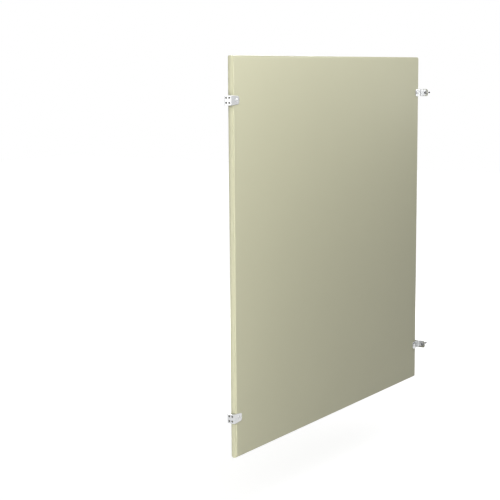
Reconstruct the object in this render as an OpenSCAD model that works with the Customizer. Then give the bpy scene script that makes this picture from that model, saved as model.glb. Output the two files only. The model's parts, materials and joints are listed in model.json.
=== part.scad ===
// Bathroom stall partition: one flush steel side panel with its wall and pilaster brackets.
// Millimetres. The origin is the centre of the lower wall bracket's seat on the wall. X runs from
// the wall to the pilaster, Y through the panel with its front face at -Y, and Z points up.

/* [Panel] */
// Width of the panel, from its wall end to its pilaster end
panel_w = 1473.2; // [600:0.1:1600]
// Height of the panel
panel_h = 1473.2; // [900:0.1:1800]
// Thickness of the panel over its two faces
panel_t = 25.4; // [24:0.1:38]
// Thickness of a face sheet
sheet_t = 0.8; // [0.6:0.1:1.1]
// Outside radius of the bend along a face sheet's edges
bend_r = 3; // [2:0.1:3.5]

/* [Edge strips] */
// Width of a crowned locking strip
crown_w = 16; // [12:0.1:17]
// Rise of the crown over the strip's curled sides
crown_rise = 0.9; // [0.4:0.1:2]
// Thickness of the strip's metal
strip_t = 0.8; // [0.6:0.1:1]
// Clearance between a strip and the folded sheet edges that it grips
grip_clearance = 0.1; // [0.05:0.01:0.2]

/* [Honeycomb core] */
// Size of a cell between its glued flats, as near as whole cells allow
core_cell = 105; // [90:1:200]
// Thickness of the kraft paper
paper_t = 1; // [0.6:0.1:1.5]
// Depth of the glue line where two ribbons of paper meet
glue_t = 0.2; // [0.1:0.05:0.3]

/* [Reinforcement channels] */
// Thickness of a channel's steel
channel_t = 1.9; // [1.5:0.1:3]
// Height of a channel
channel_h = 64; // [50:1:120]
// Depth of a channel from its open side to its web
channel_d = 38; // [30:1:80]
// Clearance between a channel and the core round it
channel_clearance = 1; // [0.5:0.1:3]

/* [Bracket places] */
// Height of the lower brackets over the panel's bottom edge
lower_bracket = 152.4; // [100:0.1:400]
// Distance of the upper brackets from the panel's top edge
upper_bracket = 158; // [100:0.1:400]
// Distance of a through-bolt from the panel's end
bolt_inset = 18; // [14:0.1:26]

/* [Wall brackets] */
// Clear space between the panel's wall end and the bracket's base
wall_space = 11.2; // [8:0.1:30]
// Thickness of the base
wall_base_t = 4.8; // [3:0.1:8]
// Height of the base
wall_base_h = 36; // [34:0.1:60]
// Height of an arm at its free end
wall_arm_tip_h = 30; // [26:0.1:60]
// Distance between the screw holes across the base
wall_hole_across = 13.5; // [12:0.1:15]
// Distance between the screw holes up the base
wall_hole_up = 18; // [14:0.1:24]
// Diameter of a screw hole
wall_hole_d = 6.8; // [5:0.1:8]

/* [Pilaster brackets] */
// Clear space between the panel's pilaster end and the bracket's base
pilaster_space = 18; // [10:0.1:30]
// Thickness of the base and the ears
pilaster_base_t = 4; // [3:0.1:8]
// Height of the arms and the ears
pilaster_h = 32; // [26:0.1:60]
// Reach of an ear past the arm's outer face
ear_reach = 35; // [34:0.1:60]
// Distance of an ear's bolt from the arm's outer face
ear_bolt = 22.6; // [18:0.1:25]

/* [All brackets] */
// Thickness of an arm
arm_t = 3.2; // [2:0.1:5]
// Length of an arm past its through-bolt
arm_past_bolt = 16; // [12:0.1:30]
// Corner radius of an arm's or an ear's free end
tip_r = 9; // [3:0.1:12]
// Outside radius of the corner between arm and base
outer_r = 2.5; // [1:0.1:3]
// Inside radius of the corner between arm and base
inner_r = 1.5; // [0.5:0.1:2]
// Radius of the corner between arm and ear
ear_root_r = 4; // [1:0.1:6]

/* [Through-bolts] */
// Diameter of the barrel nut's sleeve and of the screw's shoulder
barrel_d = 8; // [7:0.1:10]
// Diameter of the screw's thread in the barrel nut
thread_d = 6; // [4:0.1:6]
// Diameter of both heads
bolt_head_d = 14; // [12:0.1:18]
// Height of both heads
bolt_head_h = 2.8; // [2.2:0.1:4]
// Length of the screw's thread
thread_l = 14; // [8:0.1:18]
// Length of the screw's shoulder past the reinforcement channel
shoulder_past = 0.6; // [0.2:0.1:2]
// Gap between the shoulder and the end of the sleeve
sleeve_gap = 0.4; // [0.2:0.1:1]
// Radial clearance of a sleeve or shoulder in the holes it passes
barrel_clearance = 0.3; // [0.1:0.05:0.6]
// Radial clearance between thread and sleeve
thread_clearance = 0.1; // [0.05:0.01:0.2]

/* [Pilaster bolts] */
// Diameter of the bolt that goes through the pilaster
stud_d = 6.35; // [5:0.01:8]
// Radial step of its shoulder inside the ear over its thread
stud_shoulder_step = 0.4; // [0.3:0.05:1]
// Radial clearance of the shoulder in the ear's hole
stud_clearance = 0.2; // [0.1:0.05:0.5]
// Length of the bolt past the bracket's seat
stud_l = 38; // [20:0.1:60]
// Diameter of the bolt's head
stud_head_d = 13; // [11:0.1:16]
// Height of the bolt's head
stud_head_h = 3.6; // [2.5:0.1:6]

/* [Drive recess] */
// Size of the six-lobe recess over its lobes
recess_d = 5; // [3:0.1:6]
// Depth of the recess
recess_depth = 1.6; // [1:0.1:2]
// Diameter of the pin left standing in the recess
recess_pin_d = 1.2; // [0.6:0.1:1.6]

/* [Hidden] */
$fn = 64;

POWDER_COAT = [0.80, 0.79, 0.68];
KRAFT_PAPER = [0.72, 0.58, 0.40];
GALVANISED = [0.66, 0.68, 0.70];
CHROME = [0.86, 0.87, 0.88];
BLACK_STEEL = [0.10, 0.10, 0.11];

// Places of the panel and its brackets
panel_x = wall_base_t + wall_space;
panel_z = -lower_bracket;
panel_end_x = panel_x + panel_w;
upper_z = panel_h - lower_bracket - upper_bracket;
wall_bolt_x = panel_x + bolt_inset;
pilaster_bolt_x = panel_end_x - bolt_inset;
seat_x = panel_end_x + pilaster_space + pilaster_base_t;
half_t = panel_t / 2;
arm_y = half_t + arm_t;
cut = 1; // how far a cutting shape runs past the face that it opens
through = 2 * arm_y + 2 * cut; // length of a hole through both arms
wall_arm_l = panel_x + bolt_inset + arm_past_bolt;
pilaster_arm_l = pilaster_base_t + pilaster_space + bolt_inset + arm_past_bolt;

// Section of a locking strip: a crown that runs tangent into two curled sides, each ending in a lip
curl_r = strip_t + sheet_t / 2 + grip_clearance;
curl_y = crown_w / 2 - curl_r;
curl_depth = curl_r + crown_rise;
crown_r = (curl_y * curl_y + curl_depth * curl_depth - curl_r * curl_r) / (2 * crown_rise);
crown_a = asin(curl_y / (crown_r - curl_r));
crown_h = curl_depth + curl_r + grip_clearance;
arc_steps = 8;

// Section of a face sheet's edge: bend, return flange, and a hem folded back over the strip's lip
edge_depth = crown_h + bend_r;
fold_gap = strip_t + 2 * grip_clearance;
fold_r = fold_gap / 2 + sheet_t;
fold_y = fold_r + grip_clearance;
fold_depth = crown_h - fold_gap / 2;
lip_y = fold_y + fold_gap / 2 + grip_clearance;
deep = max(panel_w, panel_h);

// Honeycomb between the sheets, in whole ribbons and whole waves
core_w = panel_w - 2 * edge_depth;
core_h = panel_h - 2 * edge_depth;
core_t = panel_t - 2 * sheet_t;
ribbons = round(core_w / (core_cell / 2));
ribbon_pitch = core_w / ribbons;
waves = round(core_h / (core_cell * sqrt(3)));
wave_l = core_h / waves;
ribbon_inset = (paper_t - glue_t) / 2;
ribbon_lean = atan2(ribbon_pitch - 2 * ribbon_inset, wave_l / 6);
bend_shift = paper_t / 2 * tan(ribbon_lean / 2);
// Bends of one wave: which flat, place along the wave, and the way the ribbon leans there
BENDS = [[0, 1 / 6, 1], [1, 1 / 3, 1], [1, 2 / 3, -1], [0, 5 / 6, -1]];

// Through-bolt, measured from the outer face of the arm under each head
grip = 2 * arm_y;
shoulder_l = arm_t + sheet_t + channel_t + shoulder_past;
barrel_l = grip - shoulder_l - sleeve_gap;
bolt_hole_r = barrel_d / 2 + barrel_clearance;
stud_shoulder_d = stud_d + 2 * stud_shoulder_step;
stud_hole_r = stud_shoulder_d / 2 + stud_clearance;
ear_tip_y = arm_y + ear_reach;
stud_y = arm_y + ear_bolt;

// Fastener heads: the dome rises from a straight rim, and six lobes stand round the recess's core
HEAD_RIM = 1 / 4;
recess_core_d = 0.72 * recess_d;
lobe_d = 0.24 * recess_d;

// Outline along x from a straight root to a lower tip with round corners, centred on y
module tongue(l, h_root, h_tip, r, root = 0) {
    upper = [[0, h_root / 2], [root, h_root / 2], [l - r, h_tip / 2], [l, h_tip / 2]];
    difference() {
        polygon(concat(upper, [for (p = backwards(upper)) [p[0], -p[1]]]));
        for (side = [0, 1])
            mirror([0, side])
                translate([l - r, h_tip / 2 - r])
                    difference() {
                        square(2 * r);
                        circle(r);
                    }
    }
}

// Lays a drawing made in x and z on the plane of the panel, t thick and centred on it
module upright(t)
    rotate([90, 0, 0])
        linear_extrude(t, center = true)
            children();

// Lays an edge section along one side of the panel: y to the right, that side's edge at the top.
// side counts quarter turns from the top edge: 0 top, 1 pilaster, 2 bottom, 3 wall
function run_of(side) = side % 2 == 0 ? panel_w : panel_h;
function reach_of(side) = run_of(side + 1) / 2;
module on_side(side)
    translate([panel_x + panel_w / 2, 0, panel_z + panel_h / 2])
        rotate([0, 90 * side, 0])
            children();
module along_side(side)
    on_side(side)
        translate([-run_of(side) / 2, 0, reach_of(side)])
            rotate([90, 0, 90])
                linear_extrude(run_of(side))
                    children();

// What lies inside a section laid along all four sides, so that its corners come out mitred
module inside_edges()
    intersection_for(side = [0:3])
        along_side(side)
            children();

// Flange, bend and face of the back sheet: its outside where t is 0, its inside where t is its metal
module sheet_section(t, y_from) {
    translate([half_t - bend_r, -edge_depth])
        circle(bend_r - t);
    translate([y_from, -deep])
        square([half_t - bend_r - y_from, deep - crown_h - t]);
    translate([y_from, -deep])
        square([half_t - t - y_from, deep - edge_depth]);
}

// Half-round bead r thick each way that runs on flat to y_to, round the whole panel
module fold(r, y_to)
    difference() {
        inside_edges() {
            translate([fold_y, -fold_depth])
                circle(r);
            translate([fold_y - r, -deep])
                square([r, deep - fold_depth]);
            translate([fold_y, -deep])
                square([y_to - fold_y, deep - fold_depth + r]);
        }
        inside_edges()
            difference() {
                translate([fold_y - r - cut, -deep])
                    square([y_to - fold_y + r + 2 * cut, deep - fold_depth]);
                translate([fold_y, -fold_depth])
                    circle(r);
                translate([fold_y, -fold_depth - r])
                    square([y_to - fold_y + 2 * cut, 2 * r]);
            }
    }

// Points of an arc, and half of a strip's outline at one depth under its surface, from apex to lip
function arc(centre, r, from, to) = [for (i = [0:arc_steps])
    centre + r * [cos(from + (to - from) * i / arc_steps), sin(from + (to - from) * i / arc_steps)]];
function strip_half(depth) = concat(
    arc([0, -crown_r], crown_r - depth, 90, 90 - crown_a),
    arc([curl_y, -curl_depth], curl_r - depth, 90 - crown_a, -90),
    [[lip_y, depth - curl_depth - curl_r]]
);
function both_halves(half) = concat([for (i = [len(half) - 1:-1:1]) [-half[i][0], half[i][1]]], half);

module strip_section()
    polygon(concat(both_halves(strip_half(0)), backwards(both_halves(strip_half(strip_t)))));

// Cylinders through the whole panel at the four through-bolts
module through_bolt_holes(r)
    for (x = [wall_bolt_x, pilaster_bolt_x], z = [0, upper_z])
        translate([x, 0, z])
            rotate([90, 0, 0])
                cylinder(r = r, h = through, center = true);

module face_sheet(front)
    color(POWDER_COAT)
        difference() {
            mirror([0, front ? 1 : 0, 0])
                difference() {
                    union() {
                        inside_edges()
                            sheet_section(0, fold_y);
                        fold(fold_r, curl_y);
                    }
                    inside_edges()
                        sheet_section(sheet_t, fold_y - cut);
                    fold(fold_gap / 2, curl_y + cut);
                }
            through_bolt_holes(bolt_hole_r);
        }

// Locking strip on one side of the panel, mitred at both ends
module edge_strip(side) {
    run = run_of(side) / 2;
    reach = reach_of(side);
    color(POWDER_COAT)
        intersection() {
            along_side(side)
                strip_section();
            on_side(side)
                upright(through)
                    polygon([
                        [-run, reach], [run, reach],
                        [run - edge_depth, reach - edge_depth],
                        [-run + edge_depth, reach - edge_depth]
                    ]);
        }
}

// One edge of a paper ribbon, side -1 or 1, its corners mitred to keep the paper's thickness.
// way is 1 or -1: neighbouring ribbons lean opposite ways, so that they meet flat on flat
function ribbon_x(flat, side) =
    (flat == 0 ? ribbon_inset : ribbon_pitch - ribbon_inset) + side * paper_t / 2;
function flat_for(flat, way) = way > 0 ? flat : 1 - flat;
function ribbon_edge(side, way) = concat(
    [[ribbon_x(flat_for(0, way), side), 0]],
    [for (wave = [0:waves - 1], bend = BENDS) [
        ribbon_x(flat_for(bend[0], way), side),
        (wave + bend[1]) * wave_l - side * way * bend[2] * bend_shift
    ]],
    [[ribbon_x(flat_for(0, way), side), core_h]]
);
function backwards(list) = [for (i = [len(list) - 1:-1:0]) list[i]];

module honeycomb_core()
    color(KRAFT_PAPER)
        translate([panel_x + edge_depth, 0, panel_z + edge_depth])
            upright(core_t)
                difference() {
                    for (i = [0:ribbons - 1])
                        translate([i * ribbon_pitch, 0])
                            polygon(concat(
                                ribbon_edge(-1, 1 - 2 * (i % 2)),
                                backwards(ribbon_edge(1, 1 - 2 * (i % 2)))
                            ));
                    for (end = [0, 1], z = [0, upper_z])
                        translate([end * core_w, z - panel_z - edge_depth])
                            square([
                                2 * (channel_d + channel_clearance),
                                channel_h + 2 * channel_clearance
                            ], center = true);
                }

// Folded channel: two flanges against the sheets and a web away from the panel's end.
// It starts at x and runs along +x, or along -x where way is -1
module channel(x, z, way)
    color(GALVANISED)
        translate([x, 0, z])
            mirror([way < 0 ? 1 : 0, 0, 0])
                difference() {
                    linear_extrude(channel_h, center = true)
                        difference() {
                            tongue(channel_d, core_t, core_t, 2 * channel_t);
                            translate([-cut, 0])
                                tongue(channel_d - channel_t + cut,
                                    core_t - 2 * channel_t, core_t - 2 * channel_t, channel_t);
                        }
                    translate([bolt_inset - edge_depth, 0, 0])
                        rotate([90, 0, 0])
                            cylinder(r = bolt_hole_r, h = through, center = true);
                }

// Fillet that fills the corner at the origin, r along each side
module cove(r)
    difference() {
        square(r);
        translate([r, r])
            circle(r);
    }

// Plan of a bracket: base along y at x = 0, arms along x round the panel's end
module clasp(base_t, l)
    difference() {
        translate([0, -arm_y])
            square([l, 2 * arm_y]);
        translate([base_t, -half_t])
            difference() {
                square([l, panel_t]);
                for (side = [0, 1])
                    translate([0, side * panel_t])
                        mirror([0, side])
                            cove(inner_r);
            }
    }

// Stirrup bracket: a base with four screw holes and two arms that clasp the panel's end
module wall_bracket(z)
    color(CHROME)
        translate([0, 0, z])
            difference() {
                intersection() {
                    linear_extrude(wall_base_h, center = true)
                        difference() {
                            clasp(wall_base_t, wall_arm_l);
                            for (side = [0, 1])
                                mirror([0, side])
                                    translate([0, -arm_y])
                                        cove(outer_r);
                        }
                    upright(through)
                        tongue(wall_arm_l, wall_base_h, wall_arm_tip_h, tip_r, wall_base_t);
                }
                for (y = [-1, 1], up = [-1, 1])
                    translate([-cut, y * wall_hole_across / 2, up * wall_hole_up / 2])
                        rotate([0, 90, 0])
                            cylinder(d = wall_hole_d, h = wall_base_t + 2 * cut);
                translate([wall_bolt_x, 0, 0])
                    rotate([90, 0, 0])
                        cylinder(r = bolt_hole_r, h = through, center = true);
            }

// Double-ear bracket: arms that clasp the panel's end, and an ear each way on the pilaster
module pilaster_bracket(z)
    color(CHROME)
        translate([seat_x, 0, z])
            mirror([1, 0, 0])
                difference() {
                    intersection() {
                        linear_extrude(pilaster_h, center = true)
                            double_ear();
                        upright(4 * ear_tip_y)
                            tongue(pilaster_arm_l, pilaster_h, pilaster_h, tip_r);
                        rotate([90, 0, 90])
                            linear_extrude(2 * pilaster_arm_l, center = true)
                                for (side = [0, 1])
                                    mirror([side, 0])
                                        tongue(ear_tip_y, pilaster_h, pilaster_h, tip_r);
                    }
                    for (side = [-1, 1])
                        translate([-cut, side * stud_y, 0])
                            rotate([0, 90, 0])
                                cylinder(r = stud_hole_r, h = pilaster_base_t + 2 * cut);
                    translate([seat_x - pilaster_bolt_x, 0, 0])
                        rotate([90, 0, 0])
                            cylinder(r = bolt_hole_r, h = through, center = true);
                }

// Plan of a double-ear bracket: its seat at x = 0, the arms as in a clasp, an ear each way
module double_ear() {
    clasp(pilaster_base_t, pilaster_arm_l);
    for (side = [0, 1])
        mirror([0, side]) {
            translate([0, arm_y])
                square([pilaster_base_t, ear_reach]);
            translate([pilaster_base_t, arm_y])
                cove(ear_root_r);
        }
}

// Head of a fastener along +z from its bearing face, domed, with a six-lobe recess round a pin
module domed_head(d, h) {
    dome = (1 - HEAD_RIM) * h;
    dome_r = (d * d / 4 + dome * dome) / (2 * dome);
    difference() {
        rotate_extrude()
            intersection() {
                square([d / 2, h]);
                translate([0, h - dome_r])
                    circle(dome_r);
            }
        translate([0, 0, h - recess_depth])
            linear_extrude(recess_depth + cut)
                difference() {
                    union() {
                        circle(d = recess_core_d);
                        for (lobe = [0:5])
                            rotate(60 * lobe)
                                translate([(recess_d - lobe_d) / 2, 0])
                                    circle(d = lobe_d);
                    }
                    circle(d = recess_pin_d);
                }
    }
}

// Sleeve half of a through-bolt, its head on the front arm
module barrel_nut(x, z)
    color(CHROME)
        translate([x, -arm_y, z])
            rotate([90, 0, 0]) {
                domed_head(bolt_head_d, bolt_head_h);
                translate([0, 0, -barrel_l])
                    difference() {
                        cylinder(d = barrel_d, h = barrel_l);
                        translate([0, 0, -cut])
                            cylinder(d = thread_d + 2 * thread_clearance, h = barrel_l);
                    }
            }

// Screw half of a through-bolt, its head on the back arm
module shoulder_screw(x, z)
    color(CHROME)
        translate([x, arm_y, z])
            rotate([-90, 0, 0]) {
                domed_head(bolt_head_d, bolt_head_h);
                translate([0, 0, -shoulder_l])
                    cylinder(d = barrel_d, h = shoulder_l);
                translate([0, 0, -shoulder_l - thread_l])
                    cylinder(d = thread_d, h = thread_l);
            }

// Bolt through an ear, its shank standing out to pass through the pilaster
module pilaster_bolt(z, side)
    color(BLACK_STEEL)
        translate([seat_x - pilaster_base_t, side * stud_y, z])
            rotate([0, -90, 0]) {
                domed_head(stud_head_d, stud_head_h);
                translate([0, 0, -pilaster_base_t])
                    cylinder(d = stud_shoulder_d, h = pilaster_base_t);
                translate([0, 0, -pilaster_base_t - stud_l])
                    cylinder(d = stud_d, h = stud_l);
            }

module face_sheet_front() face_sheet(true);
module face_sheet_back() face_sheet(false);
module edge_strip_top() edge_strip(0);
module edge_strip_pilaster() edge_strip(1);
module edge_strip_bottom() edge_strip(2);
module edge_strip_wall() edge_strip(3);
module reinforcement_wall_upper() channel(panel_x + edge_depth, upper_z, 1);
module reinforcement_wall_lower() channel(panel_x + edge_depth, 0, 1);
module reinforcement_pilaster_upper() channel(panel_end_x - edge_depth, upper_z, -1);
module reinforcement_pilaster_lower() channel(panel_end_x - edge_depth, 0, -1);
module wall_bracket_upper() wall_bracket(upper_z);
module wall_bracket_lower() wall_bracket(0);
module pilaster_bracket_upper() pilaster_bracket(upper_z);
module pilaster_bracket_lower() pilaster_bracket(0);
module barrel_nut_wall_upper() barrel_nut(wall_bolt_x, upper_z);
module barrel_nut_wall_lower() barrel_nut(wall_bolt_x, 0);
module barrel_nut_pilaster_upper() barrel_nut(pilaster_bolt_x, upper_z);
module barrel_nut_pilaster_lower() barrel_nut(pilaster_bolt_x, 0);
module shoulder_screw_wall_upper() shoulder_screw(wall_bolt_x, upper_z);
module shoulder_screw_wall_lower() shoulder_screw(wall_bolt_x, 0);
module shoulder_screw_pilaster_upper() shoulder_screw(pilaster_bolt_x, upper_z);
module shoulder_screw_pilaster_lower() shoulder_screw(pilaster_bolt_x, 0);
module pilaster_bolt_upper_front() pilaster_bolt(upper_z, -1);
module pilaster_bolt_upper_back() pilaster_bolt(upper_z, 1);
module pilaster_bolt_lower_front() pilaster_bolt(0, -1);
module pilaster_bolt_lower_back() pilaster_bolt(0, 1);

face_sheet_front();
face_sheet_back();
honeycomb_core();
edge_strip_top();
edge_strip_bottom();
edge_strip_wall();
edge_strip_pilaster();
reinforcement_wall_upper();
reinforcement_wall_lower();
reinforcement_pilaster_upper();
reinforcement_pilaster_lower();
wall_bracket_upper();
wall_bracket_lower();
pilaster_bracket_upper();
pilaster_bracket_lower();
barrel_nut_wall_upper();
barrel_nut_wall_lower();
barrel_nut_pilaster_upper();
barrel_nut_pilaster_lower();
shoulder_screw_wall_upper();
shoulder_screw_wall_lower();
shoulder_screw_pilaster_upper();
shoulder_screw_pilaster_lower();
pilaster_bolt_upper_front();
pilaster_bolt_upper_back();
pilaster_bolt_lower_front();
pilaster_bolt_lower_back();
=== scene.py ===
"""Bathroom stall partition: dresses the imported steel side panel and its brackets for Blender.

Every piece is a surface worked out with numpy from named sizes, in metres, in the CAD frame:
X runs from the wall to the pilaster, Y through the panel from front to back, Z up.
"""

import json

import bmesh
import bpy
import numpy as np
from bpy.props import FloatProperty, FloatVectorProperty, IntProperty, PointerProperty
from mathutils import Matrix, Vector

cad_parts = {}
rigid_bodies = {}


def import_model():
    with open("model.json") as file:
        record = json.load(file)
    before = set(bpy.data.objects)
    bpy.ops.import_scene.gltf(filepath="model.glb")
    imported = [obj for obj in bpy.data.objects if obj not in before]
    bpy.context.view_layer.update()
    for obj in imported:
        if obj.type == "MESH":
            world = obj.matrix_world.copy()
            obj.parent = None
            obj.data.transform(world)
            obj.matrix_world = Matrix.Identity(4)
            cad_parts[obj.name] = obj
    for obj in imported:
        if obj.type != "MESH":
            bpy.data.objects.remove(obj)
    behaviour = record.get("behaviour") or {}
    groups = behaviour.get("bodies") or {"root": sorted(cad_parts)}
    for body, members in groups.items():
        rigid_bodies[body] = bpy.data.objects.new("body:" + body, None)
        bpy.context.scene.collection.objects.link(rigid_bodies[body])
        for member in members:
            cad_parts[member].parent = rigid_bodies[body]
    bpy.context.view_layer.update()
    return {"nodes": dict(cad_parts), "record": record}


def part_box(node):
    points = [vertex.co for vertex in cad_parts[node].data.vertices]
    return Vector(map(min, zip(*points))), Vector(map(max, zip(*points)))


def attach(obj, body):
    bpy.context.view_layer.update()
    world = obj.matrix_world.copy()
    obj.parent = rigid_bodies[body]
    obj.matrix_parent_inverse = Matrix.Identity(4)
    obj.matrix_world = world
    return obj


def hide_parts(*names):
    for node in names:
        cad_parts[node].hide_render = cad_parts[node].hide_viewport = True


bl_info = {
    "name": "Bathroom stall partition",
    "version": (1, 0, 0),
    "blender": (4, 5, 0),
    "location": "3D View > Sidebar > Partition",
    "description": "Makes a folded steel stall panel with its edge strips, brackets and bolts",
    "category": "Object",
}

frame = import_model()

MM = 0.001
SIDES = ("top", "pilaster", "bottom", "wall")
LEVELS = ("lower", "upper")
ENDS = ("wall", "pilaster")
EAR_METAL = 4

# Cells of the grids between their marks
FACE_X_CELLS = (2, 8, 90, 8, 2)
FACE_Z_CELLS = (10, 8, 80, 8, 10)
WALL_PLAN_CELLS = (3, 8, 1, 16, 6, 8, 1)
WALL_ROWS = (3, 8, 5, 8, 3)
SEAT_CELLS = (12, 8)
ARM_CELLS = (1, 10, 6, 8, 4)
EAR_ROWS = (5, 8, 5)
EAR_END_CELLS = 2

# Steps of arcs, and how many rings or lines a form has
HOLE_RINGS = 4
EDGE_STEPS = 4
BEND_STEPS = 8
CORNER_STEPS = 8
ROOT_STEPS = 10
CROWN_STEPS = 10
CURL_STEPS = 14
STRIP_RINGS = 41
DOME_RINGS = 12
THREAD_RINGS = 8
FLOOR_LINES = 41

# Shares that shape heads and threads, and the waves over a face sheet
RIM_SHARE = 0.25
LOBE_ROOT = 0.36
THREAD_DEPTH = 0.6
THREAD_CHAMFER = 1.2
FLANK_SLOPE = 1.25
FLANK_FLAT = 0.12
BOW_WAVES = (9, 5)

# Points closer than this are joined, and shorter edges go
JOIN_DISTANCE = 2e-6
SHORT_EDGE = 1e-7

# Edges that turn by more degrees than this are drawn sharp
SHARP_TURN = 40.0
SHEET_TURN = 50.0
THREAD_TURN = 35.0

# Stage
SENSOR_WIDTH = 36.0
FAR_CLIP = 200.0
SHADOW_Y = 0.6
SHADOW_REACH = (0.8, 4.2)
SHADOW_GLOW = 0.67
FLOOR_GREY = (0.5, 0.5, 0.5, 1.0)
WHITE = (1.0, 1.0, 1.0, 1.0)

# Each lamp's width and height, its place, its aim and the rays that don't see it
LAMPS = {
    "side": ((3.4, 2.6), (-5.0, -1.25, 3.2), (0.3, 0.0, 0.5), ()),
    "edge": ((0.6, 1.9), (-3.5, 2.2, 0.65), (0.0, 0.0, 0.5), ()),
    "near": ((1.2, 1.2), (-0.54, -0.93, 1.93), (0.3, 0.0, 0.9), ()),
    "low": ((0.5, 0.5), (-1.2, -0.62, 0.235), (0.0, 0.0, 0.1), ("glossy",)),
    "far": ((1.6, 1.6), (1.19, -0.75, 1.9), (0.7, 0.0, 0.6), ()),
    "back": ((2.0, 2.0), (3.9, 2.9, 2.0), (0.8, 0.0, 0.6), ()),
    "arm": ((0.32, 0.32), (2.525, -0.549, 1.141), (1.45, -0.016, 1.163), ("diffuse",)),
    "ear": ((0.8, 0.8), (-2.1, -1.815, 1.09), (1.485, -0.038, 1.163), ("diffuse",)),
}

# The panel's own box, which its edge strips and face sheets reach
PANEL_LOW = np.array([
    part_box("edge_strip_wall")[0].x,
    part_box("face_sheet_front")[0].y,
    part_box("edge_strip_bottom")[0].z,
])
PANEL_HIGH = np.array([
    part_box("edge_strip_pilaster")[1].x,
    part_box("face_sheet_back")[1].y,
    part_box("edge_strip_top")[1].z,
])
HALF_T = PANEL_HIGH[1]
SEAT_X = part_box("pilaster_bracket_lower")[1].x


def middle(node):
    """Centre of a CAD node's box."""
    low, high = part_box(node)
    return (np.array(low) + np.array(high)) / 2


def size_of(name, value, about):
    """A length property whose default is in millimetres."""
    return FloatProperty(
        name=name, description=about, default=value * MM, min=0.0, precision=5, unit="LENGTH"
    )


def colour_of(name, value, about):
    """A colour property."""
    return FloatVectorProperty(
        name=name, description=about, default=value, size=3, min=0.0, max=1.0, subtype="COLOR"
    )


def share_of(name, value, about):
    """A property from 0 to 1."""
    return FloatProperty(
        name=name, description=about, default=value, min=0.0, max=1.0, subtype="FACTOR"
    )


def watts(name, value, about):
    """A lamp's power."""
    return FloatProperty(
        name=name, description=f"Power of the lamp {about}", default=value, min=0.0, unit="POWER"
    )


def angle_of(name, value, about):
    """An angle property whose default is in degrees."""
    return FloatProperty(name=name, description=about, default=np.radians(value), unit="ROTATION")


class PARTITION_PG_panel(bpy.types.PropertyGroup):
    """Sizes of the folded sheets and the strips that lock them"""

    sheet_metal: size_of("Sheet metal", 0.8, "Thickness of a face sheet")
    bend_radius: size_of("Bend radius", 3, "Outside radius of a sheet's edge bend")
    flange_depth: size_of("Flange depth", 3.6, "Depth of the return flange")
    hem_gap: size_of("Hem gap", 1, "Gap inside the hem, round the strip's lip")
    hem_middle: size_of("Hem middle", 1.4, "Distance of the hem from the panel's middle plane")
    crown_width: size_of("Crown width", 16, "Width of a locking strip")
    crown_rise: size_of("Crown rise", 0.9, "Rise of the crown over the curled sides")
    strip_metal: size_of("Strip metal", 0.8, "Thickness of a locking strip")
    curl_radius: size_of("Curl radius", 1.3, "Outside radius of a strip's curled sides")
    lip_end: size_of("Lip end", 2, "Distance of a lip from the panel's middle plane")
    face_bow: size_of("Face bow", 0.12, "Depth of the slow waves in a face sheet")


class PARTITION_PG_brackets(bpy.types.PropertyGroup):
    """Sizes of the wall and pilaster brackets"""

    arm_metal: size_of("Arm metal", 3.2, "Thickness of an arm")
    wall_base_metal: size_of("Wall base metal", 4.8, "Thickness of a wall bracket's base")
    wall_tip_height: size_of("Wall tip height", 30, "Height of a wall arm's tip")
    ear_metal: size_of("Ear metal", EAR_METAL, "Thickness of a pilaster bracket's seat and ears")
    outer_corner: size_of("Outer corner", 2.5, "Outside radius between arm and base")
    inner_corner: size_of("Inner corner", 1.5, "Inside radius between arm and base")
    ear_corner: size_of("Ear corner", 4, "Radius between arm and ear")
    tip_radius: size_of("Tip radius", 9, "Corner radius of an arm's or ear's tip")
    edge_round: size_of("Edge round", 0.7, "Radius of the castings' edges")
    hole_across: size_of("Hole distance across", 13.5, "Distance of the screw holes over the base")
    hole_up: size_of("Hole distance up", 18, "Distance of the screw holes up the base")
    wall_hole: size_of("Wall screw hole", 6.8, "Diameter of a wall screw hole")
    through_hole: size_of("Through hole", 8.6, "Diameter of the through-bolts' holes")
    ear_hole: size_of("Ear hole", 7.55, "Diameter of the holes in the ears")


class PARTITION_PG_fasteners(bpy.types.PropertyGroup):
    """Sizes of the through-bolts and pilaster bolts"""

    head: size_of("Through-bolt head", 14, "Diameter of a through-bolt's heads")
    head_height: size_of("Head height", 2.8, "Height of a through-bolt's heads")
    barrel: size_of("Barrel", 8, "Diameter of the sleeve and the shoulder")
    barrel_bore: size_of("Barrel bore", 6.2, "Diameter of the sleeve's blind bore")
    barrel_floor: size_of("Barrel floor", 1, "Metal between the bore and the head")
    screw_thread: size_of("Screw thread", 6, "Diameter of the screw's thread")
    screw_thread_length: size_of("Screw thread length", 14, "Length of the screw's thread")
    screw_pitch: size_of("Screw pitch", 1, "Pitch of the screw's thread")
    stud: size_of("Pilaster bolt", 6.35, "Diameter of a pilaster bolt's thread")
    stud_shoulder: size_of("Pilaster bolt shoulder", 7.15, "Diameter of its shoulder")
    stud_pitch: size_of("Pilaster bolt pitch", 1.27, "Pitch of its thread")
    stud_head: size_of("Pilaster bolt head", 13, "Diameter of its head")
    stud_head_height: size_of("Pilaster bolt head height", 3.6, "Height of its head")
    recess: size_of("Recess", 5, "Width of the recess over its lobes")
    recess_depth: size_of("Recess depth", 1.6, "Depth of the recess")
    recess_pin: size_of("Recess pin", 1.2, "Diameter of the pin in the recess")


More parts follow.
